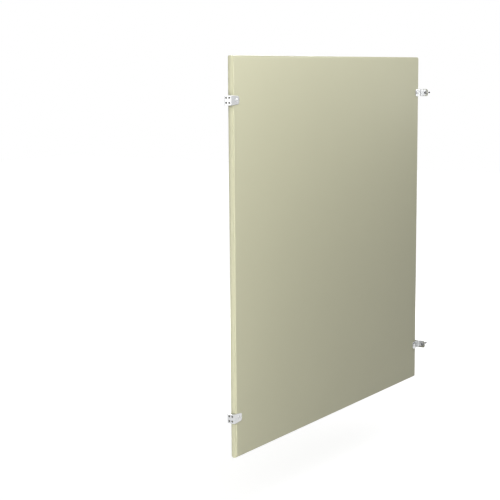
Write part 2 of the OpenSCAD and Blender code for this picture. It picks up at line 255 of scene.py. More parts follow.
class PARTITION_PG_finishes(bpy.types.PropertyGroup):
    """Colours and sheens of the finishes"""

    coat: colour_of("Powder coat", (0.575, 0.565, 0.400), "Colour of the powder coat")
    coat_roughness: share_of("Powder coat roughness", 0.46, "Roughness of the powder coat")
    chrome: colour_of("Chrome", (0.62, 0.625, 0.63), "Colour of the plated brackets")
    chrome_roughness: share_of("Chrome roughness", 0.2, "Roughness of the plated brackets")
    # Painted shade: the holes' walls are painted near-black, so the holes look as dark as the shade
    # inside them
    bore: colour_of("Hole wall", (0.09, 0.09, 0.095), "Colour of the holes' walls")
    black: colour_of("Black steel", (0.018, 0.018, 0.020), "Colour of the bolts")
    worn: colour_of("Rubbed steel", (0.22, 0.22, 0.23), "Colour of the bolts' rubbed heads")
    zinc: colour_of("Galvanised steel", (0.52, 0.54, 0.56), "Colour of the channels' zinc")
    kraft: colour_of("Kraft paper", (0.46, 0.30, 0.15), "Colour of the honeycomb's paper")


class PARTITION_PG_studio(bpy.types.PropertyGroup):
    """Camera, lamps and floor"""

    floor_drop: size_of("Floor drop", 304.8, "Distance of the floor below the panel")
    floor_size: size_of("Floor size", 30000, "Width of the floor")
    lens: FloatProperty(
        name="Lens", description="Focal length on a 36 mm sensor", default=89.084, unit="CAMERA"
    )
    camera_place: FloatVectorProperty(
        name="Camera place", description="Where the camera stands",
        default=(-3.61613, -2.52889, 1.26500), subtype="TRANSLATION", unit="LENGTH",
    )
    camera_yaw: angle_of("Camera yaw", 33.990, "Heading of the camera from +X towards +Y")
    camera_pitch: angle_of("Camera pitch", 8.231, "How far the camera looks down")
    camera_roll: angle_of("Camera roll", -0.422, "Turn of the camera about its line of sight")
    side_power: watts("Side lamp", 120.0, "off the wall end, the widest")
    edge_power: watts("Edge lamp", 6.0, "whose sheen runs down the wall end's crown")
    near_power: watts("Near lamp", 18.8, "above the wall end's upper corner")
    low_power: watts("Low lamp", 11.2, "that fills the wall end's lower half")
    far_power: watts("Far lamp", 12.1, "above the pilaster end's upper corner")
    back_power: watts("Back lamp", 125.0, "behind the panel")
    arm_power: watts("Arm lamp", 0.51, "that the upper pilaster bracket's arm mirrors")
    ear_power: watts("Ear lamp", 5.0, "that the upper pilaster bracket's ear mirrors")
    room: share_of("Room light", 0.07, "Strength of the light from all round")
    steps: IntProperty(name="Round steps", description="Steps round a piece", default=72, min=24)


GROUPS = {
    "partition_panel": PARTITION_PG_panel,
    "partition_brackets": PARTITION_PG_brackets,
    "partition_fasteners": PARTITION_PG_fasteners,
    "partition_finishes": PARTITION_PG_finishes,
    "partition_studio": PARTITION_PG_studio,
}


# Surfaces


def arc(centre, radius, start, end, steps):
    """Points centre + radius (cos a, sin a) with a from start to end in degrees."""
    a = np.radians(np.linspace(start, end, steps + 1))
    return np.asarray(centre) + radius * np.stack([np.cos(a), np.sin(a)], -1)


def spread(marks, counts):
    """Coordinates through the marks, counts[k] equal steps in gap k, and each mark's place."""
    parts = [np.linspace(a, b, n, endpoint=False) for a, b, n in zip(marks, marks[1:], counts)]
    return np.concatenate([*parts, [marks[-1]]]), np.concatenate([[0], np.cumsum(counts)])


def grid_quads(rows, columns, closed=False):
    """Quads between neighbours in a grid numbered row by row.

    With closed, the last column is joined to the first.
    """
    index = np.arange(rows * columns).reshape(rows, columns)
    if closed:
        index = np.concatenate([index, index[:, :1]], axis=1)
    corners = [index[:-1, :-1], index[1:, :-1], index[1:, 1:], index[:-1, 1:]]
    return np.stack(corners, -1).reshape(-1, 4)


def loft(rings):
    """Patch between closed rings of points, an array (ring, place round it, coordinate)."""
    return rings.reshape(-1, rings.shape[-1]), grid_quads(*rings.shape[:2], closed=True)


def loop_round(i0, i1, j0, j1):
    """Row and column numbers once round a block of a grid."""
    i, j = np.arange(i0, i1), np.arange(j0, j1)
    rows = np.concatenate([i, np.full(j1 - j0, i1), i[::-1] + 1, np.full(j1 - j0, i0)])
    columns = np.concatenate([np.full(i1 - i0, j0), j, np.full(i1 - i0, j1), j[::-1] + 1])
    return rows, columns


def pierced(grid, holes):
    """Flat patch with round holes.

    The grid is (row, column, uv), and each hole is ((i0, i1, j0, j1), centre, radius). The block's
    cells go, and rings run from its border to the circle at (1 - k) border + k circle.
    """
    keep = np.ones((grid.shape[0] - 1, grid.shape[1] - 1), bool)
    patches, circles = [], []
    for block, centre, radius in holes:
        keep[block[0]:block[1], block[2]:block[3]] = False
        border = grid[loop_round(*block)]
        out = border - centre
        circle = centre + radius * out / np.linalg.norm(out, axis=-1, keepdims=True)
        k = np.linspace(0, 1, HOLE_RINGS)[:, None, None]
        patches.append(loft(border * (1 - k) + circle * k))
        circles.append((centre, circle))
    patches.append((grid.reshape(-1, 2), grid_quads(*grid.shape[:2])[keep.ravel()]))
    return patches, circles


def plate(outline, rows, holes, edge, place):
    """Closed plate with round edges and round holes.

    outline(inset) gives u and the half height of every column; a point of the face is (u, row times
    half height). place(u, v, w, inner) sets it in the frame, w under the outer or the inner face.
    An edge runs through insets edge (1 - sin a) and depths edge (1 - cos a), a from 0 to 90.
    The patches of the plate come first, and then those of its holes' walls.
    """
    def flat(inset):
        u, half = outline(inset)
        return np.stack(np.broadcast_arrays(u[:, None], rows * half[:, None]), -1)

    shape = flat(edge).shape
    border = loop_round(0, shape[0] - 1, 0, shape[1] - 1)
    wide = [(block, centre, radius + edge / 2) for block, centre, radius in holes]
    faces, mouths = pierced(flat(edge), wide)
    patches = [
        (place(*uv.T, 0.0, inner), quads) for inner in (False, True) for uv, quads in faces
    ]
    turn = np.radians(np.linspace(0, 90, EDGE_STEPS + 1))
    around = [(edge * (1 - np.sin(a)), edge * (1 - np.cos(a)), False) for a in turn]
    around += [(inset, depth, True) for inset, depth, _ in around[::-1]]
    rings = [place(*flat(inset)[border].T, depth, inner) for inset, depth, inner in around]
    patches.append(loft(np.stack(rings)))
    bores = []
    for centre, mouth in mouths:
        out = mouth - centre
        reach = np.linalg.norm(out, axis=-1, keepdims=True)
        wall = [
            place(*(centre + out / reach * (reach - (edge - inset) / 2)).T, depth / 2, inner)
            for inset, depth, inner in around
        ]
        bores.append(loft(np.stack(wall)))
    return patches, bores


def turned(radius, height, origin, axis):
    """Patch turned about an axis.

    Radius and height are arrays (ring, place round it), and height runs along the axis.
    """
    axis = np.asarray(axis, float)
    side = np.array([0.0, 0.0, 1.0])
    across = np.cross(axis, side)
    a = 2 * np.pi * np.arange(radius.shape[1]) / radius.shape[1]
    rim = np.cos(a)[:, None] * across + np.sin(a)[:, None] * side
    return loft(np.asarray(origin) + radius[..., None] * rim + height[..., None] * axis)


def rings_of(profile, steps):
    """Radius and height arrays of a plain round profile, a list of (radius, height)."""
    profile = np.asarray(profile, float)
    return (np.repeat(profile[:, i:i + 1], steps, axis=1) for i in (0, 1))


def stacked(*groups):
    """The radius and height arrays of several groups of rings, one after another."""
    return [np.concatenate(parts) for parts in zip(*groups)]


def domed_head(head, head_height, sizes, steps):
    """Rings of a domed head, from the middle of its recess's pin out to the bearing face.

    The dome is r -> height - dome_r + sqrt(dome_r^2 - r^2) over a straight rim. The recess's
    wall stands at r = mean + swing cos 6a, which gives its six lobes.
    """
    a = 2 * np.pi * np.arange(steps) / steps
    rise = (1 - RIM_SHARE) * head_height
    dome_r = (head**2 / 4 + rise**2) / (2 * rise)

    def dome(r):
        return head_height - dome_r + np.sqrt(dome_r**2 - r**2)

    outer, inner = sizes.recess / 2, LOBE_ROOT * sizes.recess
    mean, swing = (outer + inner) / 2, (outer - inner) / 2
    lobes = mean + swing * np.cos(6 * a)
    pin, ease = sizes.recess_pin / 2, 0.1 * MM
    floor = head_height - sizes.recess_depth
    rim = dome(head / 2 - 3 * ease)
    rings = [
        (0, dome(0) - 2 * ease),
        (pin - ease, dome(0) - 2 * ease),
        (pin, dome(0) - 3 * ease),
        (pin, floor),
        (lobes - 1.5 * ease, floor),
        (lobes, floor + 1.5 * ease),
        (lobes, dome(lobes) - 2 * ease),
        (lobes + ease, dome(lobes + ease) - 0.5 * ease),
        (lobes + 2.5 * ease, dome(lobes + 2.5 * ease)),
        *((r, dome(r)) for r in np.linspace(outer + 4 * ease, head / 2 - 3 * ease, DOME_RINGS)),
        (head / 2 - ease, rim - 1.5 * ease),
        (head / 2, rim - 4 * ease),
        (head / 2, 2 * ease),
        (head / 2 - 2 * ease, 0),
    ]
    return [np.stack([part + 0 * a for part in parts]) for parts in zip(*rings)]


def threaded(diameter, pitch, start, length, steps):
    """Rings of a thread down from height start.

    Its radius is r - depth clip(slope |2 f - 1| - flat) for the fraction f of down / pitch +
    a / 2 pi. The depth grows over the first pitch, and a chamfer cuts the last one.
    """
    a = np.arange(steps) / steps
    rings = int(np.ceil(length / pitch * THREAD_RINGS)) + 1
    down = np.linspace(0, length, rings)[:, None]
    f = (down / pitch + a) % 1
    depth = THREAD_DEPTH * pitch * np.clip(down / pitch, 0, 1)
    flank = np.clip(FLANK_SLOPE * np.abs(2 * f - 1) - FLANK_FLAT, 0, 1)
    chamfer = diameter / 2 - np.clip(down - length + THREAD_CHAMFER * pitch, 0, None)
    return np.minimum(diameter / 2 - depth * flank, chamfer), start - down + 0 * a


def fresh(blocks, name, *data):
    """A new data block, in place of an old one of its name."""
    if name in blocks:
        blocks.remove(blocks[name])
    return blocks.new(name, *data)


def mesh_piece(name, patches, slot, nodes, sharp=SHARP_TURN, bores=()):
    """One closed mesh from patches that are joined where they meet, seated on the body.

    The patches in bores are the walls of holes, whose faces get 1 in the bore attribute, the mask
    where the chrome finish paints shade into the holes.
    """
    every = [*patches, *bores]
    counts = np.cumsum([0] + [len(points) for points, _ in every])
    points = np.concatenate([p for p, _ in every])
    quads = np.concatenate([q + n for (_, q), n in zip(every, counts)])
    mesh = bpy.data.meshes.new(name)
    mesh.from_pydata(points.tolist(), [], quads.tolist())
    if bores:
        # Painted shade mask: 1 on the holes' walls, which the chrome finish paints dark
        bore_shade_mask = np.zeros(len(quads), np.float32)
        bore_shade_mask[sum(len(q) for _, q in patches):] = 1.0
        mesh.attributes.new("bore", "FLOAT", "FACE").data.foreach_set("value", bore_shade_mask)
    work = bmesh.new()
    work.from_mesh(mesh)
    bmesh.ops.remove_doubles(work, verts=work.verts, dist=JOIN_DISTANCE)
    bmesh.ops.dissolve_degenerate(work, edges=work.edges, dist=SHORT_EDGE)
    bmesh.ops.recalc_face_normals(work, faces=work.faces)
    open_edges = sum(1 for edge in work.edges if len(edge.link_faces) != 2)
    work.to_mesh(mesh)
    work.free()
    if open_edges:
        raise RuntimeError(f"{name} has {open_edges} open edges")
    mesh.shade_smooth()
    mesh.set_sharp_from_angle(angle=np.radians(sharp))
    mesh.materials.append(bpy.data.materials[slot])
    piece = fresh(bpy.data.objects, name, mesh)
    bpy.context.scene.collection.objects.link(piece)
    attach(piece, "root")
    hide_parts(*nodes)


# Materials


def adder(tree):
    """Two helpers of a node tree: one adds a node with its settings, one fills its inputs.

    An input is linked where it is given a socket, and set where it is given a value.
    """
    def fill(node, inputs):
        for key, value in inputs.items():
            if isinstance(value, bpy.types.NodeSocket):
                tree.links.new(value, node.inputs[key])
            else:
                node.inputs[key].default_value = value

    def add(kind, inputs=None, **settings):
        node = tree.nodes.new(kind)
        for key, value in settings.items():
            setattr(node, key, value)
        fill(node, inputs or {})
        return node

    return add, fill


def finish(name):
    """Starts a material: its object coordinates, a helper that adds nodes and one that fills
    the inputs of its Principled shader."""
    material = fresh(bpy.data.materials, name)
    material.use_nodes = True
    add, fill = adder(material.node_tree)
    shader = material.node_tree.nodes["Principled BSDF"]
    place = add("ShaderNodeTexCoord").outputs["Object"]
    return place, add, lambda inputs: fill(shader, inputs)


def tone(colour, factor):
    """The colour made lighter or darker by a factor, with its alpha."""
    return (*[min(1.0, c * factor) for c in colour], 1.0)


def noise(add, place, scale, detail):
    """A noise texture on the given coordinates, scale in waves to the metre."""
    inputs = {"Vector": place, "Scale": scale, "Detail": detail}
    return add("ShaderNodeTexNoise", inputs).outputs["Fac"]


def between(add, value, low, high, start=0.0, end=1.0, **settings):
    """Maps start to end onto low to high."""
    return add("ShaderNodeMapRange", {
        "Value": value, "From Min": start, "From Max": end, "To Min": low, "To Max": high,
    }, **settings).outputs["Result"]


def combine(add, operation, first, second):
    """The result of an operation on two values."""
    inputs = {0: first, 1: second}
    return add("ShaderNodeMath", inputs, operation=operation).outputs["Value"]


def blend(add, factor, first, second):
    """Mixes two colours, by the mix node's own numbers for its inputs and its result."""
    inputs = {0: factor, 6: first, 7: second}
    return add("ShaderNodeMix", inputs, data_type="RGBA").outputs[2]


def bumps(add, height, strength, distance):
    """The normal over bumps of that height, so many metres deep."""
    inputs = {"Height": height, "Strength": strength, "Distance": distance}
    return add("ShaderNodeBump", inputs).outputs["Normal"]


def seen_rays(add):
    """1 for rays from the camera, a reflection or clear glass, and 0 for light that lands."""
    path = add("ShaderNodeLightPath").outputs
    some = combine(add, "MAXIMUM", path["Is Camera Ray"], path["Is Glossy Ray"])
    return combine(add, "MAXIMUM", some, path["Is Transmission Ray"])


def powder_coat(look):
    """Baked powder coat: slow faint mottling, a fine orange peel and a satin sheen."""
    place, add, paint = finish("powder_coat")
    mottle = noise(add, place, 3.0, 3.0)
    sheen = noise(add, place, 14.0, 4.0)
    peel = noise(add, place, 420.0, 3.0)
    rough = look.coat_roughness
    paint({
        "Base Color": blend(add, mottle, tone(look.coat, 0.985), tone(look.coat, 1.015)),
        "Roughness": between(add, sheen, rough - 0.03, rough + 0.03),
        "Specular IOR Level": 0.35,
        "Normal": bumps(add, peel, 0.35, 0.00012),
    })


def chrome_plate(look):
    """Chrome plate on a polished casting: faint waves in the polish and dull handling marks.

    The faces that carry the bore attribute are the holes' walls. They take the near-black hole
    colour and more roughness: painted shade that darkens the holes.
    """
    place, add, paint = finish("chrome_plate")
    bore = add("ShaderNodeAttribute", attribute_name="bore").outputs["Fac"]
    cloud = noise(add, place, 60.0, 4.0)
    smear = noise(add, place, 160.0, 5.0)
    wave = noise(add, place, 90.0, 1.0)
    bright = blend(add, cloud, tone(look.chrome, 0.94), tone(look.chrome, 1.03))
    rough = look.chrome_roughness
    rough = between(add, smear, rough - 0.05, rough + 0.09)
    paint({
        # Painted shade: the bore mask turns the holes' walls near-black
        "Base Color": blend(add, bore, bright, (*look.bore, 1.0)),
        "Metallic": 1.0,
        "Roughness": combine(add, "ADD", rough, combine(add, "MULTIPLY", bore, 0.35)),
        "Normal": bumps(add, wave, 0.2, 0.0002),
    })


def black_steel(look):
    """Blackened bolt steel: a matt dark skin, rubbed to a dull grey on the heads."""
    place, add, paint = finish("black_steel")
    skin = noise(add, place, 500.0, 4.0)
    along = add("ShaderNodeSeparateXYZ", {"Vector": place}).outputs["X"]
    seat, fade = SEAT_X - EAR_METAL * MM, 0.4 * MM
    rubbed = between(add, along, 1.0, 0.0, seat - fade, seat)
    amount = combine(add, "MULTIPLY", rubbed, between(add, skin, 0.75, 1.0))
    paint({
        "Base Color": blend(add, amount, (*look.black, 1.0), (*look.worn, 1.0)),
        "Metallic": between(add, amount, 0.1, 0.9),
        "Roughness": between(add, skin, 0.38, 0.55),
        "Specular IOR Level": 0.3,
    })


def galvanised_steel(look):
    """Hot-dipped zinc: flat spangles a few millimetres wide, each with its own tone and sheen."""
    place, add, paint = finish("galvanised_steel")
    spangle = add("ShaderNodeTexVoronoi", {"Vector": place, "Scale": 220.0}).outputs["Color"]
    grey = add("ShaderNodeRGBToBW", {"Color": spangle}).outputs["Val"]
    paint({
        "Base Color": blend(add, grey, tone(look.zinc, 0.82), tone(look.zinc, 1.2)),
        "Metallic": 1.0,
        "Roughness": between(add, grey, 0.3, 0.55),
    })


def kraft_paper(look):
    """Kraft paper: long fibres along the ribbons and a dull, dry surface."""
    place, add, paint = finish("kraft_paper")
    drawn = add("ShaderNodeMapping", {"Vector": place, "Scale": (900.0, 900.0, 60.0)})
    fibre = noise(add, drawn.outputs["Vector"], 1.0, 6.0)
    paint({
        "Base Color": blend(add, fibre, tone(look.kraft, 0.8), tone(look.kraft, 1.2)),
        "Roughness": 0.9,
        "Normal": bumps(add, fibre, 0.3, 0.0001),
    })


MAKERS = (powder_coat, chrome_plate, black_steel, galvanised_steel, kraft_paper)


# Operators


class PARTITION_OT_finishes(bpy.types.Operator):
    """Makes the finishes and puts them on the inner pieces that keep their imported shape"""

    bl_idname = "partition.finishes"
    bl_label = "Finishes and inner pieces"

    def execute(self, context):
        """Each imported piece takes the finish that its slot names."""
        for maker in MAKERS:
            maker(context.scene.partition_finishes)
        for part in frame["record"]["subparts"]:
            mesh = frame["nodes"][part["node"]].data
            mesh.materials.clear()
            mesh.materials.append(bpy.data.materials[part["material_slot"]])
        return {"FINISHED"}


class PARTITION_OT_face_sheets(bpy.types.Operator):
    """Folds the two face sheets: face, bend, return flange and hem all round, with bolt holes"""

    bl_idname = "partition.face_sheets"
    bl_label = "Face sheets"

    def execute(self, context):
        """The edge is a chain of (y, depth) points, and each makes a ring round the panel at that
        inset; the face's slow waves are bow sin^2(pi s) sin^2(pi t) cos(9 s + 5 t)."""
        size = context.scene.partition_panel
        bore = context.scene.partition_brackets.through_hole / 2
        metal, bend, flange = size.sheet_metal, size.bend_radius, size.flange_depth
        depth, gap = flange + bend, size.hem_gap / 2
        hem, lip = size.hem_middle, size.crown_width / 2 - size.curl_radius
        chain = np.concatenate([
            arc((HALF_T - bend, -depth), bend, 0, 90, BEND_STEPS),
            arc((hem, gap - flange), gap, 270, 90, BEND_STEPS),
            [(lip, 2 * gap - flange), (lip, 2 * gap + metal - flange)],
            arc((hem, gap - flange), gap + metal, 90, 270, BEND_STEPS),
            arc((HALF_T - bend, -depth), bend - metal, 90, 0, BEND_STEPS),
        ])
        bolt = [middle(f"barrel_nut_{end}_lower")[0] for end in ENDS]
        level = [middle(f"barrel_nut_wall_{name}")[2] for name in LEVELS]
        reach = 7 * MM

        def cells(axis, bolts, counts):
            marks = [b + s * reach for b in bolts for s in (-1, 1)]
            return spread([PANEL_LOW[axis] + depth, *marks, PANEL_HIGH[axis] - depth], counts)

        x, ix = cells(0, bolt, FACE_X_CELLS)
        z, iz = cells(2, level, FACE_Z_CELLS)
        grid = np.stack(np.meshgrid(x, z, indexing="ij"), -1)
        holes = [
            ((ix[i], ix[i + 1], iz[j], iz[j + 1]), np.array([bolt[i // 2], level[j // 2]]), bore)
            for i in (1, 3) for j in (1, 3)
        ]
        faces, mouths = pierced(grid, holes)
        border = loop_round(0, len(x) - 1, 0, len(z) - 1)

        def bowed(uv, y, way):
            u, v = uv.T
            s, t = ((w - c[0]) / (c[-1] - c[0]) for w, c in ((u, x), (v, z)))
            swell = np.sin(np.pi * s) ** 2 * np.sin(np.pi * t) ** 2
            wave = size.face_bow * swell * np.cos(BOW_WAVES[0] * s + BOW_WAVES[1] * t)
            return np.stack([u, way * (y + wave), v], -1)

        def ring(y, down):
            rx, rz = x.copy(), z.copy()
            rx[[0, -1]] = PANEL_LOW[0] - down, PANEL_HIGH[0] + down
            rz[[0, -1]] = PANEL_LOW[2] - down, PANEL_HIGH[2] + down
            loop = np.stack(np.meshgrid(rx, rz, indexing="ij"), -1)[border]
            return np.stack([loop[:, 0], np.full(len(loop), y), loop[:, 1]], -1)

        rings = np.stack([ring(y, down) for y, down in chain])
        walls = (HALF_T, HALF_T - metal)
        for name, way in (("front", -1), ("back", 1)):
            patches = [loft(rings * [1, way, 1])]
            patches += [(bowed(uv, y, way), quads) for y in walls for uv, quads in faces]
            for _, mouth in mouths:
                patches.append(loft(np.stack([bowed(mouth, y, way) for y in walls])))
            mesh_piece(
                f"panel_face_{name}", patches, "powder_coat", [f"face_sheet_{name}"],
                sharp=SHEET_TURN,
            )
        return {"FINISHED"}


class PARTITION_OT_edge_strips(bpy.types.Operator):
    """Rolls the four crowned locking strips, mitred at the corners"""

    bl_idname = "partition.edge_strips"
    bl_label = "Edge strips"

    def execute(self, context):
        """The section is a crown arc tangent to two curls, in (y, depth); a point of it at depth d
        runs from -(half side - d) to half side - d, so both ends come out mitred."""
        size = context.scene.partition_panel
        metal, curl, rise = size.strip_metal, size.curl_radius, size.crown_rise
        curl_y = size.crown_width / 2 - curl
        curl_depth = curl + rise
        crown = (curl_y**2 + curl_depth**2 - curl**2) / (2 * rise)
        turn = np.degrees(np.arcsin(curl_y / (crown - curl)))

        def face(depth):
            side = np.concatenate([
                arc((0, -crown), crown - depth, 90, 90 - turn, CROWN_STEPS),
                arc((curl_y, -curl_depth), curl - depth, 90 - turn, -90, CURL_STEPS)[1:],
                [(size.lip_end, depth - curl_depth - curl)],
            ])
            return np.concatenate([(side * [-1, 1])[:0:-1], side])

        section = np.concatenate([face(0.0), face(metal)[::-1]])
        half_count = len(section) // 2
        y, down = section.T
        centre, reach = (PANEL_LOW + PANEL_HIGH) / 2, (PANEL_HIGH - PANEL_LOW) / 2
        for quarter, name in enumerate(SIDES):
            run, out = (reach[0], reach[2]) if quarter % 2 == 0 else (reach[2], reach[0])
            along = np.linspace(-1, 1, STRIP_RINGS)[:, None] * (run + down)
            up = np.broadcast_to(out + down, along.shape)
            a = quarter * np.pi / 2
            x = centre[0] + along * np.cos(a) + up * np.sin(a)
            z = centre[2] - along * np.sin(a) + up * np.cos(a)
            rings = np.stack([x, np.broadcast_to(y, along.shape), z], -1)
            patches = [loft(rings)]
            for end in (0, -1):
                cap = np.stack([rings[end][:half_count], rings[end][half_count:][::-1]])
                patches.append((cap.reshape(-1, 3), grid_quads(2, half_count)))
            mesh_piece(f"crown_strip_{name}", patches, "powder_coat", [f"edge_strip_{name}"])
        return {"FINISHED"}


def round_end(u, half, end, radius, inset):
    """Columns that finish a plate with round corners.

    u = end - radius + (radius - inset) sin a and half height = half - radius + (radius - inset)
    cos a, with a up to 90 degrees.
    """
    a = np.radians(np.linspace(0, 90, CORNER_STEPS + 1))[1:]
    corner = radius - inset
    return (
        np.concatenate([u, end - radius + corner * np.sin(a)]),
        np.concatenate([half - inset, half[-1] - radius + corner * np.cos(a)]),
    )


def both_ways(u, half):
    """Columns mirrored over u = 0, which is the first of them."""
    return np.concatenate([-u[:0:-1], u]), np.concatenate([half[:0:-1], half])


def laid(z, start=0.0, x_way=1, y_way=1):
    """Function that lays a plan point at height v over z, each way being 1 or -1."""
    def lay(plan, v):
        return np.stack([start + x_way * plan[..., 0], y_way * plan[..., 1], z + v], -1)

    return lay


def ruled(s, outer, inner, lay):
    """Place function of a plate between two plan lines: at s it runs from outer(s) to inner(s)."""
    s, outer, inner = (np.asarray(v, float) for v in (s, outer, inner))

    def at(line, u):
        return np.stack([np.interp(u, s, line[:, k]) for k in (0, 1)], -1)

    def place(u, v, w, from_inner):
        start = at(outer, u)
        across = at(inner, u) - start
        t = w / np.linalg.norm(across, axis=-1, keepdims=True)
        return lay(start + (1 - t if from_inner else t) * across, v)

    return place


class PARTITION_OT_wall_brackets(bpy.types.Operator):
    """Casts the two stirrup brackets: a drilled base and two arms that clasp the panel's end"""

    bl_idname = "partition.wall_brackets"
    bl_label = "Wall brackets"

    def execute(self, context):
        """The plan is ruled between an outer and an inner line that run from one arm's tip over the
        base to the other's; its height is straight on the base and tapers along the arms."""
        size = context.scene.partition_brackets
        base, arm_y = size.wall_base_metal, HALF_T + size.arm_metal
        low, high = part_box("wall_bracket_lower")
        length, half_base = high.x, (high.z - low.z) / 2
        tip, half_tip = size.tip_radius, size.wall_tip_height / 2
        flat, root = HALF_T - size.inner_corner, base + size.inner_corner
        corner = size.outer_corner
        bend = arc((corner, arm_y - corner), corner, 180, 90, ROOT_STEPS)
        outer_line = np.concatenate([[(0, flat)], bend, [(root, arm_y)]])
        step = np.linalg.norm(np.diff(outer_line, axis=0), axis=-1)
        s = flat + np.concatenate([[0], np.cumsum(step)])
        inner_line = arc((root, flat), size.inner_corner, 180, 90, len(s) - 1)
        turn_end = s[-1]
        arm_end = turn_end + length - root
        line_s = np.concatenate([[0], s, [arm_end]])
        outer = np.concatenate([[(0, 0)], outer_line, [(length, arm_y)]])
        inner = np.concatenate([[(base, 0)], inner_line, [(length, HALF_T)]])
        mirrored = [np.concatenate([line[:0:-1] * [1, -1], line]) for line in (outer, inner)]
        line_s = np.concatenate([-line_s[:0:-1], line_s])

        across, up = size.hole_across / 2, size.hole_up / 2
        reach, reach_up, grip = 4.4 * MM, 4.6 * MM, 6.5 * MM
        bolt_s = turn_end + middle("barrel_nut_wall_lower")[0] - root
        marks = [
            0, across - reach, across + reach, flat, turn_end, bolt_s - grip, bolt_s + grip,
            arm_end - tip,
        ]
        right, place_of = spread(marks, WALL_PLAN_CELLS)
        right_half = np.interp(right, [turn_end, marks[-1]], [half_base, half_tip])
        row_marks = [(a * up + b * reach_up) / half_base for a in (-1, 1) for b in (-1, 1)]
        rows, row_of = spread([-1, *row_marks, 1], WALL_ROWS)

        def outline(inset):
            return both_ways(*round_end(right, right_half, arm_end, tip, inset))

        middle_column = len(outline(0)[0]) // 2

        def hole(side, first, row, last_row, u, v, width):
            ends = sorted(middle_column + side * place_of[k] for k in (first, first + 1))
            return (*ends, row_of[row], row_of[last_row]), np.array([side * u, v]), width / 2

        holes = []
        for side in (-1, 1):
            for z, row in ((-up, 1), (up, 3)):
                holes.append(hole(side, 1, row, row + 1, across, z, size.wall_hole))
            holes.append(hole(side, 5, 1, 4, bolt_s, 0, size.through_hole))
        for level in LEVELS:
            lay = laid(middle(f"wall_bracket_{level}")[2])
            patches, bores = plate(
                outline, rows, holes, size.edge_round, ruled(line_s, *mirrored, lay)
            )
            mesh_piece(
                f"stirrup_bracket_{level}", patches, "chrome_plate", [f"wall_bracket_{level}"],
                bores=bores,
            )
        return {"FINISHED"}


class PARTITION_OT_pilaster_brackets(bpy.types.Operator):
    """Casts the two double-ear brackets: a seat with an ear each way, and two arms"""

    bl_idname = "partition.pilaster_brackets"
    bl_label = "Pilaster brackets"

    def execute(self, context):
        """The seat is a plate from ear tip to ear tip. Each arm is ruled between two plan lines
        that leave the seat along quarter rounds, y = face + R - sqrt(R^2 - (R - x)^2)."""
        size = context.scene.partition_brackets
        ear, arm_y = size.ear_metal, HALF_T + size.arm_metal
        low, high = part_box("pilaster_bracket_lower")
        half, length, ear_tip = (high.z - low.z) / 2, high.x - low.x, high.y
        tip, outer, inner = size.tip_radius, size.ear_corner, size.inner_corner
        bolt = SEAT_X - middle("barrel_nut_pilaster_lower")[0]
        stud = middle("pilaster_bolt_lower_back")[1]
        grip, sunk = 6 * MM, 0.4 * MM
        rows, row_of = spread([-1, -grip / half, grip / half, 1], EAR_ROWS)
        seat, seat_of = spread([0, stud - grip, ear_tip - tip], SEAT_CELLS)
        root_out, root_in = ear + outer, ear + inner
        a = np.radians(np.linspace(90, 0, ARM_CELLS[1] + 1))
        turn_x = root_out - outer * np.sin(a)
        x = np.concatenate([[ear - sunk], turn_x, [length]])
        outer_y = arm_y + np.concatenate([[outer], outer - outer * np.cos(a), [0]])
        shy = np.clip(root_in - turn_x, 0, inner)
        inner_y = HALF_T - np.concatenate([[inner], inner - np.sqrt(inner**2 - shy**2), [0]])
        arm, arm_of = spread(
            [ear - sunk, ear, root_out, bolt - grip, bolt + grip, length - tip], ARM_CELLS
        )
        arm[arm_of[1]:arm_of[2] + 1] = turn_x

        def seat_outline(inset):
            return both_ways(*round_end(seat, np.full(len(seat), half), ear_tip, tip, inset))

        def arm_outline(inset):
            return round_end(arm, np.full(len(arm), half), length, tip, inset)

        centre = len(seat_outline(0)[0]) // 2
        block_rows = (row_of[1], row_of[2])
        seat_holes = []
        for side in (-1, 1):
            ends = sorted(centre + side * k for k in (seat_of[1], seat_of[2] + EAR_END_CELLS))
            seat_holes.append(((*ends, *block_rows), np.array([side * stud, 0]), size.ear_hole / 2))
        arm_holes = [
            ((arm_of[3], arm_of[4], *block_rows), np.array([bolt, 0]), size.through_hole / 2)
        ]
        tips = np.array([-ear_tip, ear_tip])
        for level in LEVELS:
            z = middle(f"pilaster_bracket_{level}")[2]
            lines = (np.stack([0 * tips + depth, tips], -1) for depth in (0, ear))
            patches, bores = plate(
                seat_outline, rows, seat_holes, size.edge_round,
                ruled(tips, *lines, laid(z, SEAT_X, -1)),
            )
            for way in (-1, 1):
                lines = (np.stack([x, y], -1) for y in (outer_y, inner_y))
                more = plate(
                    arm_outline, rows, arm_holes, size.edge_round,
                    ruled(x, *lines, laid(z, SEAT_X, -1, way)),
                )
                patches, bores = patches + more[0], bores + more[1]
            mesh_piece(
                f"double_ear_bracket_{level}", patches, "chrome_plate",
                [f"pilaster_bracket_{level}"], bores=bores,
            )
        return {"FINISHED"}


